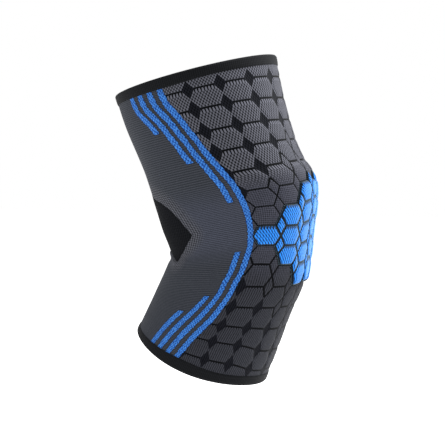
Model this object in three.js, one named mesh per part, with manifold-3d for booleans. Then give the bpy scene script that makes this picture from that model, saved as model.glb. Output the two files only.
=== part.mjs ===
// Knitted patella knee support, worn form: a bent, hollow knee sleeve with a raised honeycomb pad over
// the kneecap, a dark panel in the hollow of the knee and a folded hem at each end.
//
// Millimetres, +Z up. The front of the knee faces -Y and the left and right sides face -X and +X.
// The origin is the middle of the knee joint, inside the sleeve. The sleeve's skin is described by an
// angle round the leg, in degrees from the front, and a row, the number of the knitted honeycomb row:
// row 0 runs round the kneecap's middle and rows count up the thigh.
import * as THREE from 'three';
import Module from 'manifold-3d';
import { mergeVertices } from 'three/addons/utils/BufferGeometryUtils.js';

// Cloth and clearances
const KNIT_THICKNESS = 2.2;
const SEAT_GAP = 0.3;

// Hems: a band folded over each end of the sleeve
const HEM_DEPTH = 9;
const HEM_PLY = 1.1;
const HEM_FOLD_DEPTH = 2;
const HEM_FOLD_STEPS = 4;
const UPPER_ROW_HEIGHT = 17.3;
const LOWER_ROW_HEIGHT = 13.5;

// Honeycomb pad over the kneecap, counted in cells from its middle
const PAD_COLUMNS = 3;
const PAD_ROWS = 2;
const PAD_GAP = 0.6;
const PAD_CROWN = 3.6;
const PAD_EDGE = 1.3;
const PAD_SIDE_REACH = PAD_COLUMNS + 0.5;
const PAD_END_REACH = PAD_ROWS + 1.1;
const PAD_END_POWER = 8;
const PAD_GROOVE_SHARE = 0.55;
const PAD_SHOULDER_SHARE = 0.92;
const CELL_INSET = 0.2;
const CELL_FLAT = 0.3;

// Rise of the honeycomb rows over the kneecap, in rows: at the front, and at the pad's side tips
const FRONT_LIFT = 0.33;
const FRONT_LIFT_COLUMNS = 0.8;
const SIDE_LIFT = 0.3;
const SIDE_LIFT_FROM = 1.8;
const SIDE_LIFT_TO = 3.5;
const LIFT_ROWS = 4;

// Dark panel in the hollow of the knee, from its middle to a side tip. The calf's fold laps over its
// lower edge, which is lowest where the fold ends.
const PANEL_EDGES = [
  // degrees from the back, lower row, upper row
  [0, 0.36, 3.6],
  [10, 0.32, 3.52],
  [20, 0.2, 3.35],
  [31, 0, 3.1],
  [38, -0.35, 2.93],
  [46.5, -0.8, 2.5],
  [49.5, -0.15, 2.25],
  [54, 0.2, 1.85],
  [58.5, 0.54, 1.38],
  [62.5, 0.78, 1.02],
].map(([aside, lower, upper]) => ({ aside, lower, upper }));
const PANEL_TIP = PANEL_EDGES.length - 1;
const PANEL_THICKNESS = 1.7;
const PANEL_ROW_CLEARANCE = 0.06;
const PANEL_SIDE_SHARE = 0.99;
const PANEL_STEPS = 6;
const CUTTER_MARGIN = 4;

// Yarn colours
const KNIT_GREY = 0x54555d;
const PANEL_BLACK = 0x202124;
const PAD_BLUE = 0x4b8ff4;
const HEM_BLACK = 0x25262b;

// Facets of the swept surfaces
const ROUND_STEPS = 44;
const SLEEVE_STEPS = 28;

// Sections of the leg from the thigh rim to the calf rim. forward and height place the section's middle,
// depth and width are its half sizes to the front and the side, tilt lifts its front, in degrees,
// squareness is the power of its rounded outline and sag drops its sides below its plane. pitch is the
// angle that a honeycomb column takes at the front, and spread what it gains with each column from there.
const SECTIONS = [
  // row, forward, height, depth, tilt, width, squareness, sag, pitch, spread
  [8.4, -45.8, 137, 73, 14.9, 71, 2, 0, 23.6, -0.2],
  [6.5, -37.5, 106, 70.4, 13, 68, 2.1, 0, 21.1, 0.4],
  [4.5, -23.5, 68, 67.5, 12.5, 64, 2.2, 0, 16.8, 1.26],
  [3.6, -16.5, 51, 68.4, 12.5, 61.5, 2.25, 0, 13.4, 2.2],
  [3, -10.8, 39.5, 70.3, 12.5, 60, 2.3, 0, 12.2, 2.2],
  [1.5, -6, 15, 67.5, 11.5, 58, 2.3, 0, 10.4, 2.2],
  [0, -3.5, -9.5, 60.9, 9.5, 57, 2.35, 0, 11.4, 1.9],
  [-1, -6, -22, 61.6, 6, 57, 2.3, 0, 11.7, 1.9],
  [-2.5, -12.6, -45, 63.5, 1, 57.5, 2.2, 0, 12, 1.9],
  [-4, -22, -66, 61.3, -6, 58.5, 2.1, 0.5, 16.2, 0.9],
  [-5.5, -31, -87.5, 60.5, -14, 58.5, 2.1, 2.5, 19.3, 0.3],
  [-7.3, -40.2, -109.3, 60.5, -23, 58, 2.1, 8, 21.4, -0.2],
].map(([row, forward, height, depth, tilt, width, squareness, sag, pitch, spread]) => (
  { row, forward, height, depth, tilt, width, squareness, sag, pitch, spread }
));

const UPPER_RIM = SECTIONS[0].row;
const LOWER_RIM = SECTIONS[SECTIONS.length - 1].row;

// Rate at which a named column of the section table changes with the row, at one of its lines.
function slopeAt(name, index) {
  const above = SECTIONS[Math.max(index - 1, 0)];
  const below = SECTIONS[Math.min(index + 1, SECTIONS.length - 1)];
  return (above[name] - below[name]) / (above.row - below.row);
}

// A named column of the section table at any row, along a smooth curve through its lines.
function sectionValue(name, row) {
  let index = 0;
  while (index < SECTIONS.length - 2 && row < SECTIONS[index + 1].row) {
    index += 1;
  }
  const above = SECTIONS[index];
  const below = SECTIONS[index + 1];
  const span = below.row - above.row;
  const t = (row - above.row) / span;
  const t2 = t * t;
  const t3 = t2 * t;
  return above[name] * (2 * t3 - 3 * t2 + 1)
    + slopeAt(name, index) * span * (t3 - 2 * t2 + t)
    + below[name] * (3 * t2 - 2 * t3)
    + slopeAt(name, index + 1) * span * (t3 - t2);
}

// A point on the skin, or offset from it in the plane of its section.
function skinPoint(angle, row, offset) {
  const a = THREE.MathUtils.degToRad(angle);
  const tilt = THREE.MathUtils.degToRad(sectionValue('tilt', row));
  const power = sectionValue('squareness', row);
  const ahead = Math.abs(Math.cos(a) / (sectionValue('depth', row) + offset)) ** power;
  const aside = Math.abs(Math.sin(a) / (sectionValue('width', row) + offset)) ** power;
  const radius = (ahead + aside) ** (-1 / power);
  const along = radius * Math.cos(a);
  const drop = sectionValue('sag', row) * Math.sin(a) ** 2;
  const forward = sectionValue('forward', row) + along * Math.cos(tilt) + drop * Math.sin(tilt);
  const height = sectionValue('height', row) + along * Math.sin(tilt) - drop * Math.cos(tilt);
  return new THREE.Vector3(radius * Math.sin(a), -forward, height);
}

// A geometry from points and triangles, with shared points merged.
function facetedGeometry(points, triangles) {
  const geometry = new THREE.BufferGeometry().setFromPoints(points);
  geometry.setIndex(triangles.flat());
  return mergeVertices(geometry, 1e-4);
}

// A closed profile of { row, offset } points swept once round the leg.
function sweptRing(profile) {
  const points = [];
  const triangles = [];
  const count = profile.length;
  for (let turn = 0; turn < ROUND_STEPS; turn += 1) {
    const angle = (360 * turn) / ROUND_STEPS;
    for (const { row, offset } of profile) {
      points.push(skinPoint(angle, row, offset));
    }
  }
  for (let turn = 0; turn < ROUND_STEPS; turn += 1) {
    const here = turn * count;
    const next = ((turn + 1) % ROUND_STEPS) * count;
    for (let k = 0; k < count; k += 1) {
      const m = (k + 1) % count;
      triangles.push([here + k, next + k, next + m], [here + k, next + m, here + m]);
    }
  }
  return facetedGeometry(points, triangles);
}

// The knitted tube between the folds of the two hems, with its inner and outer face.
function sleeveShell() {
  const low = LOWER_RIM + HEM_FOLD_DEPTH / LOWER_ROW_HEIGHT;
  const high = UPPER_RIM - HEM_FOLD_DEPTH / UPPER_ROW_HEIGHT;
  const outer = [];
  const inner = [];
  for (let step = 0; step <= SLEEVE_STEPS; step += 1) {
    const share = step / SLEEVE_STEPS;
    outer.push({ row: THREE.MathUtils.lerp(low, high, share), offset: 0 });
    inner.push({ row: THREE.MathUtils.lerp(high, low, share), offset: -KNIT_THICKNESS });
  }
  return sweptRing([...outer, ...inner]);
}

// One side of a folded hem: the turned edge and the half-ellipse of its fold, grown by a margin.
function hemFace(margin) {
  const middle = -KNIT_THICKNESS / 2;
  const reach = KNIT_THICKNESS / 2 + SEAT_GAP + margin;
  const face = [{ depth: HEM_DEPTH, offset: middle + reach }];
  for (let step = 0; step <= HEM_FOLD_STEPS; step += 1) {
    const t = (Math.PI * step) / HEM_FOLD_STEPS;
    const depth = HEM_FOLD_DEPTH - (HEM_FOLD_DEPTH - HEM_PLY + margin) * Math.sin(t);
    face.push({ depth, offset: middle + reach * Math.cos(t) });
  }
  face.push({ depth: HEM_DEPTH, offset: middle - reach });
  return face;
}

// A hem folded over one rim. The rim's direction is 1 for the thigh and -1 for the calf.
function hem(rimRow, direction, rowHeight) {
  const outline = [...hemFace(HEM_PLY), ...hemFace(0).reverse()];
  const profile = outline.map(({ depth, offset }) => ({
    row: rimRow - (direction * depth) / rowHeight,
    offset,
  }));
  return sweptRing(direction > 0 ? profile : profile.reverse());
}

// Where a place of the panel lies, from a step between its two tips and a share from its lower to its
// upper edge. Clear of the opening, it is a little smaller.
function panelPlace(step, share, isClear) {
  const { aside, lower, upper } = PANEL_EDGES[Math.abs(step)];
  const sideShare = isClear ? PANEL_SIDE_SHARE : 1;
  const rowGap = isClear ? PANEL_ROW_CLEARANCE : 0;
  return {
    angle: 180 + Math.sign(step) * aside * sideShare,
    row: THREE.MathUtils.lerp(lower + rowGap, upper - rowGap, share),
  };
}

// A closed patch of the panel's outline between two offsets from the skin.
function panelPatch(isClear, outerOffset, innerOffset) {
  const points = [];
  const triangles = [];
  const columns = 2 * PANEL_TIP;
  const across = PANEL_STEPS + 1;
  for (const offset of [outerOffset, innerOffset]) {
    for (let i = 0; i <= columns; i += 1) {
      for (let j = 0; j <= PANEL_STEPS; j += 1) {
        const { angle, row } = panelPlace(i - PANEL_TIP, j / PANEL_STEPS, isClear);
        points.push(skinPoint(angle, row, offset));
      }
    }
  }
  const layer = (columns + 1) * across;
  const quad = (a, b, c, d) => triangles.push([a, b, c], [a, c, d]);
  for (let i = 0; i < columns; i += 1) {
    for (let j = 0; j < PANEL_STEPS; j += 1) {
      const a = i * across + j;
      const b = a + across;
      quad(a, b, b + 1, a + 1);
      quad(layer + a, layer + a + 1, layer + b + 1, layer + b);
    }
    const low = i * across;
    const high = low + PANEL_STEPS;
    quad(low, layer + low, layer + low + across, low + across);
    quad(high, high + across, layer + high + across, layer + high);
  }
  for (let j = 0; j < PANEL_STEPS; j += 1) {
    const last = columns * across + j;
    quad(j, j + 1, layer + j + 1, layer + j);
    quad(last, layer + last, layer + last + 1, last + 1);
  }
  return facetedGeometry(points, triangles);
}

// The corners of a honeycomb hexagon, in columns and rows, counter-clockwise from outside.
function hexCorners(column, row) {
  return [
    [column - 0.5, row],
    [column - CELL_FLAT, row - 0.5],
    [column + CELL_FLAT, row - 0.5],
    [column + 0.5, row],
    [column + CELL_FLAT, row + 0.5],
    [column - CELL_FLAT, row + 0.5],
  ];
}

// The corners of the lozenge between four hexagons.
function lozengeCorners(column, row) {
  const half = 0.5 - CELL_FLAT;
  return [
    [column - half, row],
    [column, row - 0.5],
    [column + half, row],
    [column, row + 0.5],
  ];
}

// All the cells of the pad: hexagons in a diamond with cut-off ends, and the lozenges between them and
// over their upper end.
function padCells() {
  const cells = [];
  for (let column = -PAD_COLUMNS; column <= PAD_COLUMNS; column += 1) {
    for (let row = -PAD_ROWS; row <= PAD_ROWS; row += 1) {
      if (Math.abs(column) + Math.abs(row) <= PAD_COLUMNS) {
        cells.push(hexCorners(column, row));
      }
    }
  }
  for (let column = 0.5 - PAD_COLUMNS; column < PAD_COLUMNS; column += 1) {
    for (let row = 0.5 - PAD_ROWS; row < PAD_COLUMNS; row += 1) {
      if (Math.abs(column) + Math.abs(row) <= PAD_COLUMNS) {
        cells.push(lozengeCorners(column, row));
      }
    }
  }
  return cells;
}

// Height of the pad over its seat: full in the middle columns and thin at the side tips and the ends.
function padHeight(column, row) {
  const aside = 1 - (column / PAD_SIDE_REACH) ** 2;
  const inward = 1 - (row / PAD_END_REACH) ** PAD_END_POWER;
  return PAD_EDGE + (PAD_CROWN - PAD_EDGE) * aside ** 2 * inward;
}

// Where a place of the honeycomb lies on the skin: its columns widen to the sides, and its rows rise at
// the front and at the side tips, most of all in the pad's middle rows.
function honeycombPlace(column, row) {
  const aside = Math.abs(column);
  const angle = column * (sectionValue('pitch', row) + sectionValue('spread', row) * aside);
  const front = FRONT_LIFT * Math.exp(-((aside / FRONT_LIFT_COLUMNS) ** 2));
  const side = SIDE_LIFT * THREE.MathUtils.smoothstep(aside, SIDE_LIFT_FROM, SIDE_LIFT_TO);
  const near = THREE.MathUtils.smoothstep(LIFT_ROWS - Math.abs(row), 0, LIFT_ROWS);
  return { angle, row: row + near * (front + side) };
}

// A point of the pad, at a share of its height there.
function padPoint([column, row], share) {
  const place = honeycombPlace(column, row);
  return skinPoint(place.angle, place.row, PAD_GAP + padHeight(column, row) * share);
}

// The pad as one closed body: domed cells with grooves between them on a thin, even base.
function pad() {
  const points = [];
  const triangles = [];
  const borders = new Map();
  const add = (place, share) => points.push(padPoint(place, share)) - 1;
  for (const corners of padCells()) {
    const count = corners.length;
    const middle = [0, 1].map((k) => corners.reduce((sum, c) => sum + c[k], 0) / count);
    const shrunk = (value, k) => THREE.MathUtils.lerp(value, middle[k], CELL_INSET);
    const inset = corners.map((c) => c.map(shrunk));
    const groove = corners.map((c) => add(c, PAD_GROOVE_SHARE));
    const shoulder = inset.map((c) => add(c, PAD_SHOULDER_SHARE));
    const seat = corners.map((c) => add(c, 0));
    const crown = add(middle, 1);
    const under = add(middle, 0);
    for (let k = 0; k < count; k += 1) {
      const m = (k + 1) % count;
      triangles.push([groove[k], groove[m], shoulder[m]], [groove[k], shoulder[m], shoulder[k]]);
      triangles.push([shoulder[k], shoulder[m], crown], [seat[m], seat[k], under]);
      const ends = [corners[k], corners[m]].map((c) => c.map((value) => value.toFixed(3)).join());
      const key = [...ends].sort().join(' ');
      const wall = [[groove[m], groove[k], seat[k]], [groove[m], seat[k], seat[m]]];
      borders.set(key, borders.has(key) ? [] : wall);
    }
  }
  return facetedGeometry(points, [...triangles, ...[...borders.values()].flat()]);
}

const wasm = await Module();
wasm.setup();

// A closed geometry as a solid that can be cut.
function toSolid(geometry) {
  const vertProperties = new Float32Array(geometry.attributes.position.array);
  const triVerts = new Uint32Array(geometry.index.array);
  return new wasm.Manifold(new wasm.Mesh({ numProp: 3, vertProperties, triVerts }));
}

// A solid back as a geometry.
function toGeometry(solid) {
  const { vertProperties, triVerts } = solid.getMesh();
  const geometry = new THREE.BufferGeometry();
  geometry.setAttribute('position', new THREE.BufferAttribute(new Float32Array(vertProperties), 3));
  geometry.setIndex(new THREE.BufferAttribute(new Uint32Array(triVerts), 1));
  return geometry;
}

// The sleeve, left open for the panel.
function sleeve() {
  const cutter = panelPatch(false, CUTTER_MARGIN, -KNIT_THICKNESS - CUTTER_MARGIN);
  return toGeometry(toSolid(sleeveShell()).subtract(toSolid(cutter)));
}

// The panel, a little thinner than the knit and clear of the opening's edge.
function poplitealPanel() {
  const inset = (KNIT_THICKNESS - PANEL_THICKNESS) / 2;
  return panelPatch(true, -inset, inset - KNIT_THICKNESS);
}

function piece(name, geometry, color, roughness) {
  geometry.computeVertexNormals();
  const material = new THREE.MeshStandardMaterial({ color, roughness, metalness: 0 });
  const mesh = new THREE.Mesh(geometry, material);
  mesh.name = name;
  return mesh;
}

const group = new THREE.Group();
group.add(piece('sleeve', sleeve(), KNIT_GREY, 0.95));
group.add(piece('popliteal_panel', poplitealPanel(), PANEL_BLACK, 0.95));
group.add(piece('patella_pad', pad(), PAD_BLUE, 0.8));
group.add(piece('upper_hem', hem(UPPER_RIM, 1, UPPER_ROW_HEIGHT), HEM_BLACK, 0.9));
group.add(piece('lower_hem', hem(LOWER_RIM, -1, LOWER_ROW_HEIGHT), HEM_BLACK, 0.9));

export default group;
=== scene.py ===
"""Knitted patella knee support in its worn, bent form, dressed over its CAD frame.

The sleeve, the honeycomb pad over the kneecap, the dark panel in the hollow of the knee and the two
folded hems are surfaces of one leg form. A place on the form is an angle round the leg, in degrees
from the front, and a row, the number of the knitted honeycomb row, counted up from the kneecap.
"""
import logging
import math
from dataclasses import dataclass, field
from enum import Enum
from functools import partial
from typing import Any, Mapping, Sequence

import bpy
import numpy as np
from mathutils import Matrix, Vector


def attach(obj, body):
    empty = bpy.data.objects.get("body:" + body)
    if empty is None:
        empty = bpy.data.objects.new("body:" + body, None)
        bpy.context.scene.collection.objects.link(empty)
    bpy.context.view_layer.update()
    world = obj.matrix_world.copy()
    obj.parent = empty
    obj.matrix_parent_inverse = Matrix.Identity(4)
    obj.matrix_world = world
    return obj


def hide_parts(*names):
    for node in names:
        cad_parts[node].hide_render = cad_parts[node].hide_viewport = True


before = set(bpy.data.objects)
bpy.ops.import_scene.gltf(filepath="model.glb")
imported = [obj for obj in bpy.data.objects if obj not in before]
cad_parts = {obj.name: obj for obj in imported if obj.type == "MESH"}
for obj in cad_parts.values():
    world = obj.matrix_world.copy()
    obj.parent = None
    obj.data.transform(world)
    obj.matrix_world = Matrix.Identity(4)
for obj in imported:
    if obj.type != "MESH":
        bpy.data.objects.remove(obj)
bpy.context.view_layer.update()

LOG = logging.getLogger("knee_support")
MM = 0.001
BAKE_MAP = "OFBake"
# Places of neighbouring cells that agree to this many parts of a column or row are one vertex
MERGE_GRAIN = 1e5

# Sections of the leg from the thigh rim to the calf rim, as the solids have them
SECTION_COLUMNS = (
    "row", "forward", "height", "depth", "tilt", "width", "squareness", "sag", "pitch", "spread",
)
LEG_SECTIONS = (
    (8.4, -45.8, 137, 73, 14.9, 71, 2, 0, 23.6, -0.2),
    (6.5, -37.5, 106, 70.4, 13, 68, 2.1, 0, 21.1, 0.4),
    (4.5, -23.5, 68, 67.5, 12.5, 64, 2.2, 0, 16.8, 1.26),
    (3.6, -16.5, 51, 68.4, 12.5, 61.5, 2.25, 0, 13.4, 2.2),
    (3, -10.8, 39.5, 70.3, 12.5, 60, 2.3, 0, 12.2, 2.2),
    (1.5, -6, 15, 67.5, 11.5, 58, 2.3, 0, 10.4, 2.2),
    (0, -3.5, -9.5, 60.9, 9.5, 57, 2.35, 0, 11.4, 1.9),
    (-1, -6, -22, 61.6, 6, 57, 2.3, 0, 11.7, 1.9),
    (-2.5, -12.6, -45, 63.5, 1, 57.5, 2.2, 0, 12, 1.9),
    (-4, -22, -66, 61.3, -6, 58.5, 2.1, 0.5, 16.2, 0.9),
    (-5.5, -31, -87.5, 60.5, -14, 58.5, 2.1, 2.5, 19.3, 0.3),
    (-7.3, -40.2, -109.3, 60.5, -23, 58, 2.1, 8, 21.4, -0.2),
)

# Outline of the dark panel from its middle to a side tip: degrees from the back, lower and upper row
PANEL_EDGES = (
    (0, 0.36, 3.6), (10, 0.32, 3.52), (20, 0.2, 3.35), (31, 0, 3.1), (38, -0.35, 2.93),
    (46.5, -0.8, 2.5), (49.5, -0.15, 2.25), (54, 0.2, 1.85), (58.5, 0.54, 1.38), (62.5, 0.78, 1.02),
    (64, 0.89, 0.91),
)

# Angle of the main stripe's middle, by row
MAIN_STRIPE = (
    (8.4, 100), (7.67, 99.6), (7, 97.6), (6.6, 94.8), (6.07, 91), (5.6, 88.3), (5.1, 85), (4.6, 82.3),
    (3.57, 75.2), (2.5, 69.4), (1.65, 65.6), (0.62, 64.2), (-0.45, 65.4), (-1.58, 67.5), (-2.2, 70.5),
    (-2.75, 71.9), (-3.35, 74.3), (-4.12, 78.2), (-4.72, 83.3), (-5.4, 88.8), (-6.6, 95.2), (-7.3, 98.5),
)
# Degrees from one stripe to the next, by row
STRIPE_SPACING = (
    (8.4, 8.9), (7, 8.9), (6, 8.2), (5, 8.3), (4.3, 8.4), (3.5, 9.2), (2, 9.4), (0, 9.4), (-2.5, 9),
    (-3.3, 9.2), (-4.3, 10), (-5.4, 9.5), (-7.3, 9),
)
# Rows between which each stripe is left out
STRIPE_GAPS = ((9.0, 9.0), (-0.48, 2.17), (-2.95, 4.27), (-4.03, 5.75))


class Slot(Enum):
    """Material slots of the record."""

    SLEEVE = "sleeve_knit"
    PANEL = "panel_knit"
    PAD = "pad_knit"
    HEM = "hem_elastic"


class Rim(Enum):
    """The two ends of the sleeve: row of the rim, way out of the sleeve and height of a row there."""

    THIGH = (8.4, 1, 17.3)
    CALF = (-7.3, -1, 13.5)


def linear(colour: str) -> tuple[float, float, float, float]:
    """Turns an sRGB hex colour to linear light.

    Args:
        colour: "#rrggbb".

    Returns:
        Red, green, blue and alpha for a colour socket.
    """
    shares = [int(colour[k : k + 2], 16) / 255 for k in (1, 3, 5)]
    lights = [s / 12.92 if s <= 0.04045 else ((s + 0.055) / 1.055) ** 2.4 for s in shares]
    return (*lights, 1.0)


def smooth(share: np.ndarray) -> np.ndarray:
    """Eases a share from 0 to 1: three times its square less twice its cube, level at both ends."""
    t = np.clip(share, 0, 1)
    return t * t * (3 - 2 * t)


def add_node(
    tree: bpy.types.NodeTree,
    kind: str,
    *inputs: Any,
    output: str | int | None = None,
    named: Mapping[str, Any] | None = None,
    **settings: Any,
) -> bpy.types.NodeSocket | None:
    """Adds one shader node, sets it up and links it.

    Args:
        tree: The node tree of the material.
        kind: The node's type without its prefix, and after a dot its operation where it has one.
        inputs: Values or sockets for the node's enabled inputs, in order; None leaves one as it is.
        output: Name or number of the output wanted; the first enabled one if not given.
        named: Values or sockets for inputs by name.
        settings: The node's own properties.

    Returns:
        The output socket, or None where the node has none.
    """
    name, _, operation = kind.partition(".")
    node = tree.nodes.new("ShaderNode" + name)
    if operation:
        node.operation = operation
    for key, value in settings.items():
        setattr(node, key, value)
    enabled = [socket for socket in node.inputs if socket.enabled]
    pairs = [*zip(enabled, inputs), *((node.inputs[key], value) for key, value in (named or {}).items())]
    for socket, value in pairs:
        if isinstance(value, bpy.types.NodeSocket):
            tree.links.new(value, socket)
        elif value is not None:
            socket.default_value = value
    if output is None:
        return next((socket for socket in node.outputs if socket.enabled), None)
    return node.outputs[output]


def new_material(name: str) -> bpy.types.Material:
    """An empty node material.

    Args:
        name: The material's name.

    Returns:
        The material, without a node.
    """
    material = bpy.data.materials.new(name)
    material.use_nodes = True
    material.node_tree.nodes.clear()
    return material


def make_piece(
    name: str,
    points: np.ndarray,
    faces: Sequence[np.ndarray],
    places: Sequence[np.ndarray],
    marks: Mapping[str, np.ndarray],
) -> bpy.types.Object:
    """Puts a computed surface into a mesh object at the origin.

    Args:
        name: The piece's name.
        points: Vertices, in millimetres, as rows of x, y and z.
        faces: Arrays of faces, one for each number of corners, as rows of vertex numbers.
        places: For each array of faces, the corners' places on the bake map, from 0 to 1.
        marks: Numbers for each vertex, kept as attributes for the finish to read.

    Returns:
        The linked object, smooth shaded.
    """
    mesh = bpy.data.meshes.new(name)
    rows = [row for array in faces for row in array.tolist()]
    mesh.from_pydata((points * MM).tolist(), [], rows)
    mesh.polygons.foreach_set("use_smooth", np.ones(len(rows), bool))
    layer = mesh.uv_layers.new(name=BAKE_MAP)
    flat = np.concatenate([place.reshape(-1, 2) for place in places]).astype(np.float32)
    layer.uv.foreach_set("vector", flat.ravel())
    for key, values in marks.items():
        attribute = mesh.attributes.new(key, "FLOAT", "POINT")
        attribute.data.foreach_set("value", np.ascontiguousarray(values, np.float32).ravel())
    mesh.update()
    piece = bpy.data.objects.new(name, mesh)
    bpy.context.scene.collection.objects.link(piece)
    return piece


def ring_faces(turns: int, steps: int) -> np.ndarray:
    """Faces of a closed profile carried once round: a grid that closes both ways.

    Args:
        turns: Number of places round the leg.
        steps: Number of points of the profile.

    Returns:
        Four vertex numbers for each face, shaped turns, steps and 4; a vertex is its turn times
        steps plus its step.
    """
    turn, step = np.meshgrid(np.arange(turns), np.arange(steps), indexing="ij")
    here, after, above = turn * steps, (turn + 1) % turns * steps, (step + 1) % steps
    return np.stack([here + step, after + step, after + above, here + above], -1)


def ring_places(turns: int, lows: np.ndarray, highs: np.ndarray) -> np.ndarray:
    """Bake places for ring_faces: the turn across, and a low and a high edge for each step.

    Args:
        turns: Number of places round the leg.
        lows: Lower edge of each step's strip on the map.
        highs: Upper edge of each step's strip.

    Returns:
        Two places for each corner, shaped turns, steps, 4 and 2.
    """
    left = np.broadcast_to((np.arange(turns) / turns)[:, None], (turns, len(lows)))
    right = left + 1 / turns
    low, high = np.broadcast_to(lows, left.shape), np.broadcast_to(highs, left.shape)
    return np.stack([left, low, right, low, right, high, left, high], -1).reshape(*left.shape, 4, 2)


def rim_sides(count: int, *faces: np.ndarray) -> np.ndarray:
    """The open rim of a sheet: sides of its faces that no other face has the other way round.

    Args:
        count: Number of vertices.
        faces: Arrays of faces, as rows of vertex numbers.

    Returns:
        Rows of two vertex numbers.
    """
    sides = np.concatenate([np.stack([f, np.roll(f, -1, 1)], -1).reshape(-1, 2) for f in faces])
    forth, back = sides[:, 0] * count + sides[:, 1], sides[:, 1] * count + sides[:, 0]
    return sides[~np.isin(forth, back)]


def close_sheet(
    count: int, sheets: Sequence[np.ndarray], upper: np.ndarray, lower: np.ndarray
) -> tuple[list[np.ndarray], list[np.ndarray]]:
    """Closes a sheet and its copy underneath into one body, with walls along their rims.

    Args:
        count: Number of vertices in the sheet; those of the copy follow them.
        sheets: Arrays of the sheet's faces.
        upper: Bake places of the sheet's vertices.
        lower: Bake places of the copy's vertices.

    Returns:
        Arrays of faces, and the bake places of their corners.
    """
    rim = rim_sides(count, *sheets)
    walls = np.concatenate([rim[:, ::-1], rim + count], 1)
    turned = [sheet[:, ::-1] for sheet in sheets]
    faces = [*sheets, *(sheet + count for sheet in turned), walls]
    places = [*(upper[sheet] for sheet in sheets), *(lower[sheet] for sheet in turned)]
    return faces, [*places, upper[walls % count]]


def on_map(chart: np.ndarray, box: tuple[float, float, float, float]) -> np.ndarray:
    """Moves places between 0 and 1 into a box of the bake map: left and low edge, width and height."""
    return np.array(box[:2]) + chart * np.array(box[2:])


class Curve:
    """A smooth curve through a table of knots: a cubic between neighbours, with the slope at a knot
    that of the line through the knots on either side of it."""

    def __init__(self, knots: np.ndarray, values: np.ndarray) -> None:
        """Keeps the knots in rising order.

        Args:
            knots: Where the values are given, rising or falling.
            values: The values there.
        """
        order = np.argsort(knots)
        self.knots, self.values = np.asarray(knots, float)[order], np.asarray(values, float)[order]
        low = np.maximum(np.arange(len(knots)) - 1, 0)
        high = np.minimum(np.arange(len(knots)) + 1, len(knots) - 1)
        self.slopes = (self.values[high] - self.values[low]) / (self.knots[high] - self.knots[low])

    def at(self, place: np.ndarray | float) -> np.ndarray:
        """The curve's value at each place.

        Args:
            place: Places between the first and the last knot, or a little beyond them.

        Returns:
            The values.
        """
        k = np.clip(np.searchsorted(self.knots, place, side="right") - 1, 0, len(self.knots) - 2)
        span = self.knots[k + 1] - self.knots[k]
        t = (place - self.knots[k]) / span
        return (
            self.values[k] * (2 * t**3 - 3 * t**2 + 1)
            + self.slopes[k] * span * (t**3 - 2 * t**2 + t)
            + self.values[k + 1] * (3 * t**2 - 2 * t**3)
            + self.slopes[k + 1] * span * (t**3 - t**2)
        )


class LegForm:
    """The worn form of the sleeve, from its table of sections."""

    def __init__(self, sections: Sequence[Sequence[float]]) -> None:
        """Makes a curve of each column of the table.

        Args:
            sections: Lines of the table, in the order of SECTION_COLUMNS.
        """
        table = np.array(sections, float)
        self.curves = {
            name: Curve(table[:, 0], table[:, k]) for k, name in enumerate(SECTION_COLUMNS) if k
        }

    def value(self, name: str, row: np.ndarray | float) -> np.ndarray:
        """A named column of the table at any row."""
        return self.curves[name].at(row)

    def skin(self, angle: np.ndarray, row: np.ndarray, offset: np.ndarray | float) -> np.ndarray:
        """Places on the form, or offset from it in the plane of their section.

        A section is a rounded outline: the power sum of the cosine over the depth and the sine over
        the width gives the radius at an angle. The section is tilted about its middle, and its
        sides hang below its plane by the sag times the sine squared.

        Args:
            angle: Degrees from the front, growing to +X.
            row: Honeycomb row.
            offset: Millimetres outside the skin.

        Returns:
            Points in millimetres, with x, y and z last.
        """
        a, tilt = np.radians(angle), np.radians(self.value("tilt", row))
        power = self.value("squareness", row)
        ahead = np.abs(np.cos(a) / (self.value("depth", row) + offset)) ** power
        aside = np.abs(np.sin(a) / (self.value("width", row) + offset)) ** power
        radius = (ahead + aside) ** (-1 / power)
        along, drop = radius * np.cos(a), self.value("sag", row) * np.sin(a) ** 2
        forward = self.value("forward", row) + along * np.cos(tilt) + drop * np.sin(tilt)
        height = self.value("height", row) + along * np.sin(tilt) - drop * np.cos(tilt)
        return np.stack(np.broadcast_arrays(radius * np.sin(a), -forward, height), -1)


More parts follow.
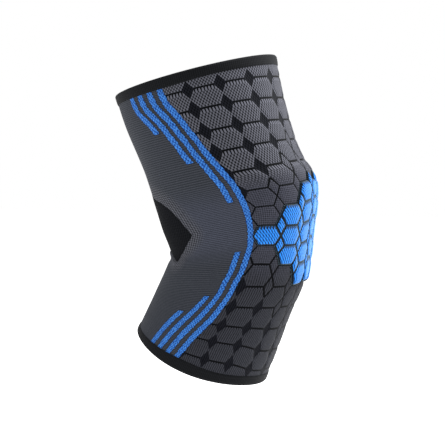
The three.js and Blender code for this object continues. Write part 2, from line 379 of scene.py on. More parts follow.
@dataclass(frozen=True)
class Honeycomb:
    """The knitted pattern: hexagons at whole columns and rows, lozenges at the halves between them.

    Names in mm are millimetres on the cloth. The other sizes are columns and rows of the pattern,
    or shares.
    """

    flat: float = 0.3
    row_mm: float = 16
    slant_mm: float = 18
    diamond_width: float = 0.2
    diamond_height: float = 0.47
    diamond_mm: float = 3.8
    open_ring: int = 5
    wales: int = 10
    courses: int = 10
    front_lift: float = 0.33
    front_columns: float = 0.8
    side_lift: float = 0.3
    side_from: float = 1.8
    side_to: float = 3.5
    lift_rows: float = 4
    limb_row: float = 4
    limb_ease: float = 2
    thigh_drop: float = 0.1
    thigh_columns: float = 1.5
    calf_lift: float = 0.27
    calf_from: float = 1
    calf_to: float = 2.5
    pillow_mm: float = 2.4
    lozenge_mm: float = 2
    lozenge_share: float = 0.8
    dip_mm: float = 1.4
    dip_share: float = 0.7
    rounds: int = 14

    @property
    def lean(self) -> float:
        """Columns that a hexagon's slanted side gains for each row."""
        return 2 * (0.5 - self.flat)

    def place(self, leg: LegForm, column: np.ndarray, row: np.ndarray) -> tuple[np.ndarray, np.ndarray]:
        """Where a place of the pattern lies on the leg.

        The angle is the column times a pitch that grows with the column. The rows rise at the front
        by a bell curve of the column and at the pad's side tips, and less so far from the pad. On
        the thigh they drop a little, most in front, and low on the calf they rise at the sides.

        Args:
            leg: The leg's form.
            column: Honeycomb column, from the front.
            row: Honeycomb row.

        Returns:
            Angles and rows on the leg.
        """
        aside = np.abs(column)
        angle = column * (leg.value("pitch", row) + leg.value("spread", row) * aside)
        front = self.front_lift * np.exp(-((aside / self.front_columns) ** 2))
        side = self.side_lift * smooth((aside - self.side_from) / (self.side_to - self.side_from))
        knee = smooth(1 - np.abs(row) / self.lift_rows) * (front + side)
        thigh = -self.thigh_drop * smooth((row - self.limb_row) / self.limb_ease)
        thigh = thigh * (1 + np.exp(-((aside / self.thigh_columns) ** 2)))
        calf = self.calf_lift * smooth((-self.limb_row - row) / self.limb_ease)
        calf = calf * smooth((aside - self.calf_from) / (self.calf_to - self.calf_from))
        return angle, row + knee + thigh + calf

    def find(self, leg: LegForm, angle: np.ndarray, row: np.ndarray) -> tuple[np.ndarray, np.ndarray]:
        """The pattern's column and row at places on the leg: place() solved backwards.

        A first guess is moved again and again by what it misses, the column by the missing angle
        over the pitch there.

        Args:
            leg: The leg's form.
            angle: Degrees from the front.
            row: Row on the leg.

        Returns:
            Columns and rows of the pattern.
        """
        column, level = angle / leg.value("pitch", row), np.array(row, float)
        for _ in range(self.rounds):
            turned, climbed = self.place(leg, column, level)
            pitch = leg.value("pitch", level) + 2 * leg.value("spread", level) * np.abs(column)
            column = column + (angle - turned) / pitch
            level = level + row - climbed
        return column, level

    def relief(self, column: np.ndarray, row: np.ndarray) -> np.ndarray:
        """Height of the knit as a share: cells are pillows, and far from the pad the lozenges dip.

        With the column and row folded to their distance from the nearest whole number, a place is
        in a hexagon where column plus lean times row is under one half. Its height eases up with
        the distance from the nearest side.

        Args:
            column: Honeycomb column, from the front.
            row: Honeycomb row.

        Returns:
            Shares from about -0.7 to 1.
        """
        x, y = np.abs(column - np.rint(column)), np.abs(row - np.rint(row))
        slant = (0.5 - x - self.lean * y) * self.slant_mm
        level = (0.5 - y) * self.row_mm
        diamond = (1 - (0.5 - x) / self.diamond_width - (0.5 - y) / self.diamond_height) * self.diamond_mm
        pillow = smooth(np.minimum(slant, level) / self.pillow_mm)
        lozenge = self.lozenge_share * smooth(-slant / self.lozenge_mm)
        beside = smooth(np.minimum(np.where(slant > 0, level, np.inf), -diamond) / self.pillow_mm)
        dip = -self.dip_share * smooth(diamond / self.dip_mm)
        outer = np.floor(np.abs(column)) + np.floor(np.abs(row)) >= self.open_ring
        return np.where(outer, np.where(diamond > 0, dip, beside), np.where(slant > 0, pillow, lozenge))

    def measure(
        self, add: partial, column: bpy.types.NodeSocket, row: bpy.types.NodeSocket
    ) -> tuple[bpy.types.NodeSocket, ...]:
        """Nodes that measure a place within its cell, folded as in relief().

        Args:
            add: The function that adds a node.
            column: Honeycomb column, without its sign.
            row: Honeycomb row.

        Returns:
            The folded column and row, what the column lacks to the hexagon's slanted side, 1 in a
            hexagon and 0 in a lozenge, and the millimetres under the cell's top.
        """
        across, upward = (add("Math.PINGPONG", socket, 0.5) for socket in (column, row))
        inside = add("Math.SUBTRACT", add("Math.MULTIPLY_ADD", upward, -self.lean, 0.5), across)
        hexagon = add("Math.GREATER_THAN", inside, 0.0)
        rise = add("Math.FRACT", add("Math.ADD", row, 0.5))
        under_top = add("Math.MULTIPLY_ADD", rise, -self.row_mm, self.row_mm)
        return across, upward, inside, hexagon, under_top


@dataclass(frozen=True)
class Stripes:
    """Four bands of bright yarn down each side, the first of them along the whole sleeve, with sizes in
    millimetres: half a band's width, and what a degree and a row measure on the leg."""

    half_width: float = 2.55
    degree_mm: float = 1.12
    row_mm: float = 16
    main: Curve = field(default_factory=lambda: Curve(*np.array(MAIN_STRIPE).T))
    spacing: Curve = field(default_factory=lambda: Curve(*np.array(STRIPE_SPACING).T))

    def ahead(self, angle: np.ndarray, row: np.ndarray) -> np.ndarray:
        """Millimetres from the main stripe's middle towards the front of the knee."""
        return (self.main.at(row) - np.abs(angle)) * self.degree_mm

    def distance(self, angle: np.ndarray, row: np.ndarray) -> np.ndarray:
        """Millimetres to the edge of the nearest stripe, below 0 inside one.

        Each stripe's middle is the main stripe's angle plus its number times the spacing. The
        distance round the leg is shortened by the stripe's slope, and within the rows that a
        stripe leaves out the distance to the nearer end takes its place.

        Args:
            angle: Degrees from the front.
            row: Honeycomb row.

        Returns:
            The distances.
        """
        near = 0.01
        slope = (self.main.at(row + near) - self.main.at(row - near)) / (2 * near)
        shorten = 1 / np.hypot(1, slope * self.degree_mm / self.row_mm)
        nearest = np.full(np.broadcast(angle, row).shape, np.inf)
        for number, (low, high) in enumerate(STRIPE_GAPS):
            middle = self.main.at(row) + number * self.spacing.at(row)
            across = np.abs(np.abs(angle) - middle) * self.degree_mm * shorten - self.half_width
            ends = np.minimum(row - low, high - row) * self.row_mm
            nearest = np.minimum(nearest, np.maximum(across, ends))
        return nearest


@dataclass(frozen=True)
class PanelOutline:
    """Outline of the panel in the hollow of the knee, where the calf's fold laps over it."""

    degree_mm: float = 1.05
    row_mm: float = 15
    tip_row: float = 0.9
    chevron: float = 0.45

    def edges(self, angle: np.ndarray) -> tuple[np.ndarray, np.ndarray, np.ndarray]:
        """The panel's edges, in straight lines between the places of the table.

        Args:
            angle: Degrees from the front.

        Returns:
            Degrees from the back, and the rows of the lower and the upper edge there.
        """
        aside = 180 - np.abs(angle)
        turns, lower, upper = np.array(PANEL_EDGES, float).T
        return aside, np.interp(aside, turns, lower), np.interp(aside, turns, upper)

    def distance(self, angle: np.ndarray, row: np.ndarray) -> np.ndarray:
        """Millimetres outside the panel's edge, below 0 inside it.

        The outline is a chain of straight sides in degrees and rows, drawn to scale. The distance
        is that to the nearest side.

        Args:
            angle: Degrees from the front.
            row: Row on the leg.

        Returns:
            The distances.
        """
        aside, lower, upper = self.edges(angle)
        table = np.array(PANEL_EDGES, float)
        chain = np.concatenate([table[:, [0, 1]], table[::-1, [0, 2]]]) * [self.degree_mm, self.row_mm]
        across, along = aside * self.degree_mm, row * self.row_mm
        gap = np.full(np.shape(angle), np.inf)
        for (x, y), (dx, dy) in zip(chain[:-1], np.diff(chain, axis=0)):
            share = np.clip(((across - x) * dx + (along - y) * dy) / (dx * dx + dy * dy), 0, 1)
            gap = np.minimum(gap, np.hypot(across - x - share * dx, along - y - share * dy))
        inside = (row > lower) & (row < upper) & (aside < table[-1, 0])
        return np.where(inside, -gap, gap)

    def ribs(self, angle: np.ndarray, row: np.ndarray) -> np.ndarray:
        """Millimetres across the ribs of the mesh beside the panel, which meet in a point at its tip."""
        across = (180 - np.abs(angle)) * self.degree_mm
        return across + self.chevron * self.row_mm * np.abs(row - self.tip_row)


@dataclass(frozen=True, kw_only=True)
class Knit:
    """What all the knits here share: matt yarn, stitches in low relief, loose fibres that break up
    the pattern, and a nap that lightens the cloth where it turns away."""

    name: str
    roughness: float = 0.92
    specular: float = 0.05
    sheen: float = 0.03
    nap: str = "#ffffff"
    nap_roughness: float = 0.5
    stitch_depth: float = 0.25
    bump: float = 0.6
    fuzz: float = 0.8
    fuzz_mm: float = 1.2
    fuzz_detail: float = 2.0

    def begin(self, *marks: str) -> tuple[bpy.types.Material, partial, list[bpy.types.NodeSocket]]:
        """Starts the material with the loose fibres and the attributes that its pattern reads.

        Args:
            marks: Names of the attributes.

        Returns:
            The material, the function that adds its nodes, and the sockets of the fibres, which
            run from minus to plus their share, and of each attribute.
        """
        material = new_material(self.name)
        add = partial(add_node, material.node_tree)
        place = add("TexCoord", output="Object")
        noise = add("TexNoise", place, 1 / (self.fuzz_mm * MM), self.fuzz_detail, output="Fac")
        loose = add("Math.MULTIPLY_ADD", noise, 2 * self.fuzz, -self.fuzz)
        return material, add, [loose, *(add("Attribute", attribute_name=m, output="Fac") for m in marks)]

    def end(self, add: partial, colour: bpy.types.NodeSocket, relief: bpy.types.NodeSocket) -> None:
        """Closes the material: the relief as a bump, under a matt shader with a nap.

        Args:
            add: The function that adds its nodes.
            colour: The yarn's colour.
            relief: Height of the stitches, as a share of their depth.
        """
        bump = add("Bump", self.bump, self.stitch_depth * MM, named={"Height": relief})
        shader = add(
            "BsdfPrincipled",
            named={
                "Base Color": colour,
                "Roughness": self.roughness,
                "Sheen Weight": self.sheen,
                "Sheen Roughness": self.nap_roughness,
                "Sheen Tint": linear(self.nap),
                "Specular IOR Level": self.specular,
                "Normal": bump,
            },
        )
        add("OutputMaterial", shader)


@dataclass(frozen=True, kw_only=True)
class JacquardKnit(Knit):
    """Nylon and elastane jacquard knit: matt, with a soft nap that lightens at a glance.

    Each stitch is a small loop, so a cell shows light dots over dark gaps on the thigh, level ribs at
    the knee and upright ribs on the calf. The real stitch is about 1 mm; it is drawn twice as coarse,
    so that it shows. Yarns are pairs of a dark and a light colour, and a weave is the weight of each
    kind of rib or dot in it. The calf's pair, and the plain knit's pair away from the knee, are darker
    partly as painted shade, because the lower and outer leg take less light.
    """

    name: str = "Jacquard_knit"
    thigh: tuple[str, str] = ("#0a0b0d", "#52535b")
    knee: tuple[str, str] = ("#1b1c21", "#3f404a")
    # Darker than the knee's pair partly as painted shade: the calf takes less light from above
    calf: tuple[str, str] = ("#121316", "#313238")
    plain: tuple[str, str] = ("#26282f", "#3f424d")
    # Painted shade: the plain knit away from the knee is darker, as the knee's middle takes more light
    plain_limb_shaded: tuple[str, str] = ("#202328", "#35373d")
    stripe: tuple[str, str] = ("#082868", "#3c75bb")
    mesh: tuple[str, str] = ("#0e0e11", "#55565c")
    diamond: tuple[str, str] = ("#030406", "#13141a")
    line: str = "#050608"
    roughness: float = 0.95
    specular: float = 0.03
    sheen: float = 0.045
    thigh_rows: tuple[float, float] = (2.4, 3.4)
    calf_rows: tuple[float, float] = (-0.8, -2.4)
    limb_rows: tuple[float, float] = (0.9, 2.4)
    knee_row: float = 0.9
    knee_wales: int = 14
    calf_wales: int = 12
    knee_weave: tuple[float, float] = (0.6, 0.5)
    calf_weave: tuple[float, float] = (0.8, 0.2)
    thigh_weave: float = 1.7
    line_mm: float = 0.5
    limb_line_mm: float = 0.72
    line_sink: float = 0.8
    tooth_mm: float = 3.4
    calf_tooth_mm: float = 1.7
    stub_mm: float = 0.8
    tooth_flank: tuple[float, float] = (-0.2, 0.5)
    mesh_band_mm: tuple[float, float] = (5.2, 13)
    mesh_share: float = 0.8
    mesh_rib_mm: float = 2.4
    mesh_weave: tuple[float, float] = (0.8, 0.6)
    mesh_light: float = 0.4
    jump_mm: float = 0.4
    jump_courses: float = 1.5
    frayed_mm: float = 0.5
    speck: float = 2.6
    # Width and darkness of the painted shadow beside the stripes
    shadow_mm: float = 1.2
    shadow: float = 0.6

    def make(self, cells: Honeycomb) -> bpy.types.Material:
        """The finish as a material that reads the sleeve's pattern and distance attributes.

        Args:
            cells: The pattern's sizes.

        Returns:
            The material.
        """
        marks = ("column", "row", "stripe", "ahead", "panel", "ribs")
        material, add, (loose, column, row, stripe, ahead, panel, ribs) = self.begin(*marks)

        # Stitches: dots on the thigh, level ribs at the knee and behind, upright ribs on the calf
        climb = add("Math.MULTIPLY", row, math.pi * cells.courses)
        rib, knee_rib, calf_rib = (
            add("Math.COSINE", add("Math.MULTIPLY", column, 2 * math.pi * wales))
            for wales in (cells.wales, self.knee_wales, self.calf_wales)
        )
        dot = add("Math.MULTIPLY", rib, add("Math.COSINE", climb))
        level_rib = add("Math.COSINE", add("Math.MULTIPLY", climb, 2.0))
        thigh = add("MapRange", row, *self.thigh_rows, 0.0, 1.0)
        calf = add("MapRange", row, *self.calf_rows, 0.0, 1.0)
        off_knee = add("Math.ABSOLUTE", add("Math.SUBTRACT", row, self.knee_row))
        limb = add("MapRange", off_knee, *self.limb_rows, 0.0, 1.0)
        knee_stitch, calf_stitch = (
            add("Math.MULTIPLY_ADD", first, weave[0], add("Math.MULTIPLY", second, weave[1]))
            for first, second, weave in (
                (level_rib, knee_rib, self.knee_weave),
                (calf_rib, dot, self.calf_weave),
            )
        )
        stitch = add("Mix", calf, knee_stitch, calf_stitch)
        stitch = add("Mix", thigh, stitch, add("Math.MULTIPLY", dot, self.thigh_weave))
        front = add("Math.GREATER_THAN", ahead, 0.0)
        stitch = add("Mix", front, level_rib, stitch)
        light = add("Math.MULTIPLY_ADD", add("Math.ADD", stitch, loose), 0.5, 0.5, use_clamp=True)

        # Honeycomb lines, dark lozenges and the teeth of stitches under the cells' tops
        across, upward, inside, hexagon, under_top = cells.measure(add, column, row)
        slant = add("Math.MULTIPLY", add("Math.ABSOLUTE", inside), cells.slant_mm)
        level = add("Math.MULTIPLY_ADD", upward, -cells.row_mm, cells.row_mm / 2)
        ring = add("Math.ADD", add("Math.FLOOR", column), add("Math.FLOOR", add("Math.ABSOLUTE", row)))
        outer = add("Math.GREATER_THAN", ring, cells.open_ring - 0.5)
        half = add("Math.MULTIPLY_ADD", limb, self.limb_line_mm - self.line_mm, self.line_mm)
        on_slant = add("Math.LESS_THAN", slant, half)
        on_slant = add("Math.MULTIPLY", on_slant, add("Math.SUBTRACT", 1.0, outer))
        on_level = add("Math.MULTIPLY", add("Math.LESS_THAN", level, half), hexagon)
        reach = add("Math.MULTIPLY_ADD", thigh, self.tooth_mm - self.stub_mm, self.stub_mm)
        reach = add("Math.MULTIPLY_ADD", calf, self.calf_tooth_mm - self.stub_mm, reach)
        toothed = add("Math.MULTIPLY", add("Math.LESS_THAN", under_top, reach), hexagon)
        tooth = add("Math.MULTIPLY", add("MapRange", rib, *self.tooth_flank, 0.0, 1.0), reach)
        on_tooth = add("Math.MULTIPLY", add("Math.LESS_THAN", under_top, tooth), hexagon)
        light = add("Math.MAXIMUM", light, add("Math.MULTIPLY", toothed, front))

        # Yarn of the cells, of the plain knit and of the ribbed mesh along the panel's edge, with painted
        # shade on the calf and away from the knee
        shades = []
        for shade in (0, 1):
            pairs = (self.knee, self.calf, self.thigh, self.plain, self.plain_limb_shaded)
            yarns = [linear(pair[shade]) for pair in pairs]
            # The calf's darker pair is partly painted shade
            yarn = add("Mix", calf, yarns[0], yarns[1], data_type="RGBA")
            yarn = add("Mix", thigh, yarn, yarns[2], data_type="RGBA")
            # Painted shade: the plain knit darkens away from the knee's middle
            plain = add("Mix", limb, yarns[3], yarns[4], data_type="RGBA")
            shades.append(add("Mix", front, plain, yarn, data_type="RGBA"))
        ground = add("Mix", light, *shades, data_type="RGBA")
        ridge = add("Math.COSINE", add("Math.MULTIPLY", ribs, 2 * math.pi / self.mesh_rib_mm))
        thread = add("Math.MULTIPLY", level_rib, self.mesh_weave[1])
        ridge = add("Math.MULTIPLY_ADD", ridge, self.mesh_weave[0], thread)
        ridge = add("Math.ADD", ridge, loose)
        ridge = add("Math.MULTIPLY_ADD", ridge, 0.5, self.mesh_light, use_clamp=True)
        mesh_yarn = add("Mix", ridge, *map(linear, self.mesh), data_type="RGBA")
        near_panel = add("MapRange", panel, *self.mesh_band_mm, self.mesh_share, 0.0)
        ground = add("Mix", near_panel, ground, mesh_yarn, data_type="RGBA")
        lines = add("Math.MAXIMUM", add("Math.MAXIMUM", on_slant, on_level), on_tooth)
        lines = add("Math.MULTIPLY", lines, front)
        wide = add("Math.DIVIDE", add("Math.SUBTRACT", 0.5, across), cells.diamond_width)
        tall = add("Math.DIVIDE", add("Math.SUBTRACT", 0.5, upward), cells.diamond_height)
        lozenge = add("Math.LESS_THAN", add("Math.ADD", wide, tall), 1.0)
        lozenge = add("Math.MULTIPLY", add("Math.MULTIPLY", lozenge, outer), front)
        hollow = add("Mix", light, *map(linear, self.diamond), data_type="RGBA")
        ground = add("Mix", lozenge, ground, hollow, data_type="RGBA")
        ground = add("Mix", lines, ground, linear(self.line), data_type="RGBA")

        # Stripes whose edge steps from course to course, and a painted shadow beside them
        course = add("Math.FLOOR", add("Math.MULTIPLY", row, self.jump_courses * cells.courses))
        jump = add("TexWhiteNoise", named={"W": course}, noise_dimensions="1D", output="Value")
        jump = add("Math.MULTIPLY_ADD", jump, 2 * self.jump_mm, -self.jump_mm)
        ragged = add("Math.MULTIPLY_ADD", loose, self.frayed_mm, add("Math.ADD", stripe, jump))
        band = add("Math.LESS_THAN", ragged, 0.0)
        speck = add("Math.MULTIPLY_ADD", loose, self.speck, dot)
        speck = add("Math.MULTIPLY_ADD", speck, 0.5, 0.5, use_clamp=True)
        bright = add("Mix", speck, *map(linear, self.stripe), data_type="RGBA")
        # Painted shadow: the line colour eased in along the stripes' edges
        beside = add("MapRange", ragged, 0.0, self.shadow_mm, self.shadow, 0.0)
        ground = add("Mix", beside, ground, linear(self.line), data_type="RGBA")
        colour = add("Mix", band, ground, bright, data_type="RGBA")

        dark = add("Math.MAXIMUM", lines, lozenge)
        self.end(add, colour, add("Math.MULTIPLY_ADD", dark, -self.line_sink, light))
        return material


@dataclass(frozen=True, kw_only=True)
class PadKnit(Knit):
    """Bright nylon knit over a soft pad: slanting stitches, dark lines in the grooves between cells,
    and a pale nap that shows where the pad turns away."""

    name: str = "Padded_jacquard_knit"
    light: str = "#277fdc"
    dark: str = "#041c4a"
    line: str = "#04060b"
    nap: str = "#c8ebff"
    roughness: float = 0.9
    sheen: float = 0.34
    line_mm: float = 0.9
    line_sink: float = 0.8
    tooth_mm: float = 3.2
    tooth_flank: tuple[float, float] = (-0.2, 0.4)
    weave: tuple[float, float] = (0.8, 0.35)

    def make(self, cells: Honeycomb) -> bpy.types.Material:
        """The finish as a material that reads the pad's column, row and edge attributes.

        Args:
            cells: The pattern's sizes.

        Returns:
            The material.
        """
        material, add, (loose, column, row, edge) = self.begin("column", "row", "edge")
        turn = add("Math.MULTIPLY", column, 2 * math.pi * cells.wales)
        rib = add("Math.COSINE", turn)
        twill = add("Math.COSINE", add("Math.MULTIPLY_ADD", row, -math.pi * cells.courses, turn))
        stitch = add("Math.MULTIPLY", rib, self.weave[1])
        stitch = add("Math.MULTIPLY_ADD", twill, self.weave[0], stitch)
        light = add("Math.MULTIPLY_ADD", add("Math.ADD", stitch, loose), 0.5, 0.5, use_clamp=True)
        yarn = add("Mix", light, linear(self.dark), linear(self.light), data_type="RGBA")
        *_, hexagon, under_top = cells.measure(add, column, row)
        tooth = add("MapRange", rib, *self.tooth_flank, 0.0, self.tooth_mm)
        on_tooth = add("Math.MULTIPLY", add("Math.LESS_THAN", under_top, tooth), hexagon)
        lines = add("Math.MAXIMUM", add("Math.LESS_THAN", edge, self.line_mm), on_tooth)
        colour = add("Mix", lines, yarn, linear(self.line), data_type="RGBA")
        self.end(add, colour, add("Math.MULTIPLY_ADD", lines, -self.line_sink, light))
        return material


@dataclass(frozen=True, kw_only=True)
class RibKnit(Knit):
    """Black rib knit of nylon and rubber yarn: fine ribs along the leg, matt with a slight sheen."""

    light: str
    dark: str
    rib_mm: float
    stitch_depth: float = 0.2
    bump: float = 0.5
    fuzz: float = 0.6
    fuzz_mm: float = 1.5
    weave: tuple[float, float] = (0.3, 0.7)

    def make(self) -> bpy.types.Material:
        """The finish as a material that reads the piece's across and along attributes.

        Returns:
            The material.
        """
        material, add, (loose, across, along) = self.begin("across", "along")
        rib, course = (
            add("Math.COSINE", add("Math.MULTIPLY", way, 2 * math.pi / self.rib_mm))
            for way in (across, along)
        )
        loop = add("Math.MULTIPLY_ADD", course, self.weave[0], add("Math.MULTIPLY", rib, self.weave[1]))
        light = add("Math.MULTIPLY_ADD", add("Math.ADD", loop, loose), 0.5, 0.5, use_clamp=True)
        yarn = add("Mix", light, linear(self.dark), linear(self.light), data_type="RGBA")
        self.end(add, yarn, light)
        return material


def seat(piece: bpy.types.Object, finish: bpy.types.Material, node: str) -> None:
    """Dresses a piece and puts it in place of its solid.

    Args:
        piece: The new piece.
        finish: Its material.
        node: The solid that it replaces.
    """
    piece.data.materials.append(finish)
    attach(piece, "root")
    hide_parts(node)


@dataclass
class KnitSleeve:
    """The bent tube of the sleeve, with its pattern in relief and a shallow seat for the panel.

    Sizes are millimetres, except the fold's end and fade and the dense angle in degrees, covers in
    rows, strips of the bake map from 0 to 1 and the flat size in metres.
    """

    leg: LegForm
    cells: Honeycomb
    stripes: Stripes
    outline: PanelOutline
    finish: JacquardKnit
    thickness: float = 2.2
    hem_tuck: float = 2
    pillow: float = 0.5
    pillow_from: float = 2.4
    pillow_ease: float = 4
    stripe_rise: float = 0.35
    stripe_ease: float = 2
    thigh_cover: float = 0.6
    calf_cover: float = 0.75
    cover_ease: float = 1 / 3
    panel_seat: float = 1.25
    seat_ease: float = 1.2
    fold_rise: float = 1.5
    fold_width: float = 6
    fold_lead: float = 0.84
    fold_ease: float = 2.4
    fold_end: float = 52
    fold_fade: float = 12
    dense_angle: float = 102
    dense_steps: int = 118
    back_steps: int = 70
    outer_rows: int = 240
    inner_rows: int = 20
    outer_strip: tuple[float, float] = (0.2, 0.99)
    inner_strip: tuple[float, float] = (0.19, 0.01)
    flat_size: tuple[float, float] = (0.33, 0.28)

    def angles(self) -> np.ndarray:
        """Angles round the leg, closer together in front, where the honeycomb is.

        Returns:
            Degrees from the front, rising, with the back only once.
        """
        front = np.linspace(0, self.dense_angle, self.dense_steps + 1)
        back = np.linspace(self.dense_angle, 180, self.back_steps + 1)[1:]
        half = np.concatenate([front, back])
        return np.concatenate([-half[:0:-1], half[:-1]])

    def relief(
        self, angle: np.ndarray, row: np.ndarray, column: np.ndarray, level: np.ndarray
    ) -> np.ndarray:
        """Offset of the outer face: pillows in front of the main stripe, raised stripes, a seat for
        the panel and the calf's fold over its lower edge, a bell curve, each eased in.

        Args:
            angle: Degrees from the front.
            row: Row on the leg.
            column: Column of the pattern.
            level: Row of the pattern.

        Returns:
            The offsets, in millimetres.
        """
        ahead = smooth((self.stripes.ahead(angle, row) - self.pillow_from) / self.pillow_ease)
        bare = smooth((Rim.THIGH.value[0] - self.thigh_cover - row) / self.cover_ease)
        bare = bare * smooth((row - Rim.CALF.value[0] - self.calf_cover) / self.cover_ease)
        cloth = self.pillow * self.cells.relief(column, level) * ahead * bare
        on_stripe = smooth(0.5 - self.stripes.distance(angle, row) / self.stripe_ease)
        aside, lower, _ = self.outline.edges(angle)
        below = (lower - row) * self.outline.row_mm
        fold = self.fold_rise * np.exp(-((below / self.fold_width) ** 2))
        fold = fold * smooth((below + self.fold_lead) / self.fold_ease)
        fold = fold * smooth((self.fold_end - aside) / self.fold_fade)
        in_seat = smooth(-self.outline.distance(angle, row) / self.seat_ease)
        return cloth + self.stripe_rise * on_stripe * bare + fold - self.panel_seat * in_seat

    def build(self) -> bpy.types.Object:
        """The closed mesh: the outer face up the leg and the plain inner face down again.

        Returns:
            The sleeve.
        """
        low = Rim.CALF.value[0] + self.hem_tuck / Rim.CALF.value[2]
        high = Rim.THIGH.value[0] - self.hem_tuck / Rim.THIGH.value[2]
        outer, inner = np.linspace(low, high, self.outer_rows), np.linspace(high, low, self.inner_rows)
        angles = self.angles()
        angle, row = np.meshgrid(angles, np.concatenate([outer, inner]), indexing="ij")
        face = np.arange(row.shape[1]) < self.outer_rows
        column, level = self.cells.find(self.leg, angle, row)
        offset = np.where(face, self.relief(angle, row, column, level), -self.thickness)
        points = self.leg.skin(angle, row, offset)
        turns, steps = row.shape
        strips = ((self.outer_strip, self.outer_rows), (self.inner_strip, self.inner_rows))
        edges = np.concatenate([np.linspace(*strip, rows) for strip, rows in strips])
        after, joins = np.roll(edges, -1), [self.outer_rows - 1, -1]
        after[joins] = edges[joins]
        away = 60.0
        marks = {
            "column": np.abs(column),
            "row": level,
            "stripe": np.where(face, self.stripes.distance(angle, row), away),
            "ahead": np.where(face, self.stripes.ahead(angle, row), -away),
            "panel": np.where(face, self.outline.distance(angle, row), away),
            "ribs": self.outline.ribs(angle, row),
        }
        return make_piece(
            "knit_sleeve",
            points.reshape(-1, 3),
            [ring_faces(turns, steps).reshape(-1, 4)],
            [ring_places(turns, edges, after)],
            marks,
        )

    def dress(self, piece: bpy.types.Object) -> None:
        """Gives the sleeve its knit and its place in the record."""
        seat(piece, self.finish.make(self.cells), "sleeve")


